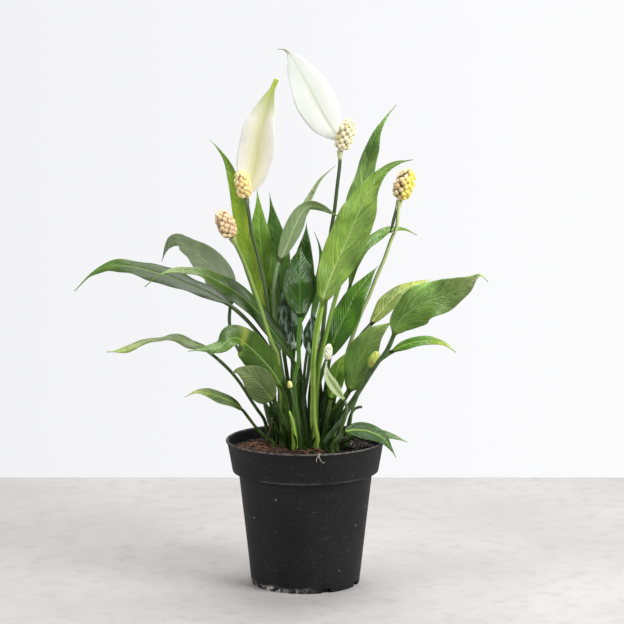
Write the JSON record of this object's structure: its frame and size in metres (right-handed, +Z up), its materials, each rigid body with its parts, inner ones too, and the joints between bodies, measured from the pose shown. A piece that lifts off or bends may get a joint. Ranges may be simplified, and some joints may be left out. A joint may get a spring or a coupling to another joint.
{
  "type": "potted peace lily",
  "caption": "Peace lily clump with arching lance-shaped leaves and cream blooms on upright stems, rooted in the peat of a round tapered plastic nursery pot",
  "frame": {"origin": "centre of the pot's base on the floor", "axes": "+Z up along the pot's axis, +X to the viewer's right in the picture, +Y away from the viewer"},
  "size_m": [0.3117, 0.183, 0.4025],
  "materials": {
    "pot_plastic": "matt black, lightly scuffed",
    "peat": "loose dark peat with fibres",
    "leaf_fresh": "waxy leaf surface",
    "leaf_dark": "waxy leaf surface",
    "leaf_grey": "waxy leaf surface",
    "leaf_mid": "waxy leaf surface",
    "leaf_yellow": "waxy leaf surface",
    "stem": "smooth plant tissue",
    "dry_stem": "smooth plant tissue",
    "spathe_cream": "smooth plant tissue",
    "spathe_white": "smooth plant tissue",
    "spadix": "smooth plant tissue",
    "bud": "smooth plant tissue"
  },
  "bodies": {
    "root": {"pot": "pot_plastic", "soil": "peat", "tall_left_leaf": "leaf_fresh", "light_leaf_behind_stem": "leaf_fresh", "dark_upright_leaf": "leaf_dark", "grey_leaf_bending_right": "leaf_grey", "thin_tipped_leaf": "leaf_grey", "wide_centre_leaf": "leaf_dark", "leaf_behind_centre": "leaf_dark", "thin_dark_tip": "leaf_dark", "big_bright_leaf": "leaf_fresh", "dark_tall_leaf": "leaf_dark", "thin_arching_leaf": "leaf_mid", "far_left_leaf": "leaf_mid", "upper_left_leaf": "leaf_grey", "long_left_leaf": "leaf_dark", "twisted_left_leaf": "leaf_mid", "folded_over_leaf": "leaf_mid", "grey_dark_leaf": "leaf_dark", "low_left_leaf": "leaf_fresh", "dark_leaf_right_of_centre": "leaf_mid", "yellow_green_leaf": "leaf_yellow", "big_right_leaf": "leaf_mid", "bright_right_leaf": "leaf_fresh", "broad_green_leaf": "leaf_mid", "leaf_over_the_rim": "leaf_fresh", "narrow_leaf_over_rim": "leaf_mid", "small_bright_leaf": "leaf_fresh", "puckered_leaf": "leaf_grey", "puckered_narrow_leaf": "leaf_grey", "front_left_bloom_stem": "stem", "tall_bloom_stem": "stem", "low_left_bloom_stem": "leaf_fresh", "right_bloom_stem": "stem", "young_bloom_stem": "stem", "right_bud_stem": "stem", "small_bud_stem": "dry_stem", "broken_petiole": "leaf_dark", "cut_stump": "dry_stem", "young_rolled_leaf": "leaf_yellow", "front_left_spathe": "spathe_cream", "tall_spathe": "spathe_white", "young_spathe": "spathe_cream", "right_bract": "leaf_dark", "front_left_spadix": "spadix", "tall_spadix": "spadix", "low_left_spadix": "spadix", "right_spadix": "spadix", "young_spadix": "spathe_white", "right_bud": "bud", "small_bud": "bud"}
  },
  "joints": []
}
